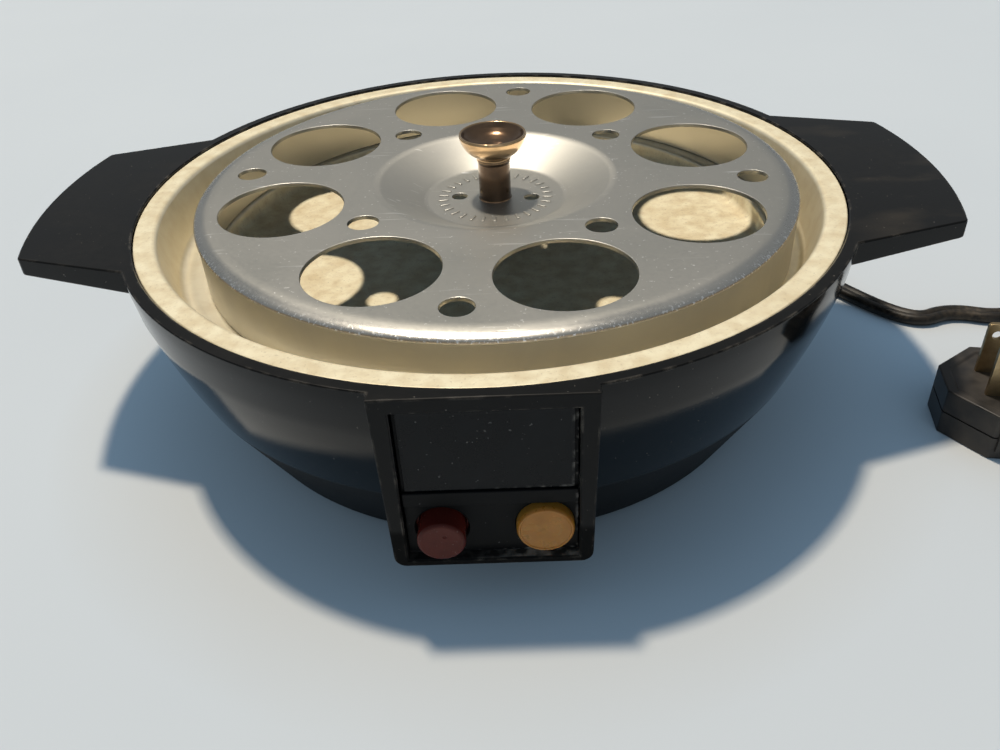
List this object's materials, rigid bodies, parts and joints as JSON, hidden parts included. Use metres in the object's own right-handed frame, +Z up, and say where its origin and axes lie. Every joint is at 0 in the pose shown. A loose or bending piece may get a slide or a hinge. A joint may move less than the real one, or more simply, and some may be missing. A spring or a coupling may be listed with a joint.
{
  "type": "electric egg cooker",
  "caption": "Round electric egg cooker: black moulded bowl with wing handles, aluminium water pan, lift-out egg rack with centre knob, red push button, amber pilot lens and mains cord.",
  "frame": {"origin": "on the bowl's axis, in the plane of the undersides of the four feet", "axes": "+Z up, the control box faces -Y, the handles lie along X"},
  "size_m": [0.4318, 0.3, 0.0865],
  "materials": {
    "black_phenolic": "polished phenolic, scuffed",
    "pan_metal": "spun, tarnished",
    "seal_rubber": "soft",
    "rack_metal": "satin, tarnished",
    "knob_brown": "polished",
    "steel": "plated",
    "sheath": "oxidised",
    "stat_body": "moulded",
    "shield_metal": "bright",
    "cover_paint": "black enamel",
    "foot_rubber": "moulded",
    "panel_charcoal": "satin",
    "plate_dark": "smooth",
    "button_red": "moulded",
    "nylon": "moulded",
    "switch_body": "moulded",
    "lens_amber": "clear moulded",
    "lamp_glass": "clear",
    "wire_cover": "braided",
    "cord_rubber": "satin",
    "tie_paper": "plain",
    "plug_black": "moulded",
    "brass": "worn"
  },
  "bodies": {
    "base": {"base_bowl": "black_phenolic", "water_pan": "pan_metal", "rim_seal": "seal_rubber", "heating_element": "sheath", "element_clamp": "steel", "clamp_studs": "steel", "clamp_nuts": "steel", "thermostat": "stat_body", "heat_shield": "shield_metal", "shield_spacer": "steel", "shield_nut": "steel", "pan_stud": "steel", "bottom_cover": "cover_paint", "cover_washer": "steel", "cover_nut": "steel", "feet": "foot_rubber", "control_panel": "panel_charcoal", "nameplate": "plate_dark", "return_spring": "steel", "start_switch": "switch_body", "switch_bracket": "steel", "bracket_screws": "steel", "indicator_lens": "lens_amber", "lamp": "lamp_glass", "lamp_holder": "nylon", "terminal_block": "switch_body", "block_screws": "steel", "cord_cores": "wire_cover", "wire_live": "wire_cover", "wire_switched": "wire_cover", "wire_return": "wire_cover", "wire_neutral": "wire_cover", "strain_relief": "cord_rubber", "cord_lead": "cord_rubber", "cord_coil": "cord_rubber", "cord_tail": "cord_rubber", "cord_tie": "tie_paper", "plug": "plug_black", "plug_relief": "cord_rubber", "plug_blades": "brass"},
    "rack": {"egg_rack": "rack_metal", "rack_knob": "knob_brown", "knob_washer": "steel", "knob_screw": "steel"},
    "button": {"start_button": "button_red", "switch_plunger": "nylon"}
  },
  "joints": [
    {"name": "rack_lift", "type": "slide", "parent": "base", "child": "rack", "axis": [0, 0, 1], "range_m": [0, 0.06]},
    {"name": "button_press", "type": "slide", "parent": "base", "child": "button", "axis": [0, 1, 0], "range_m": [0, 0.003], "stiffness_N_per_m": 500, "springref_m": -0.002, "deforming": ["return_spring"]}
  ]
}
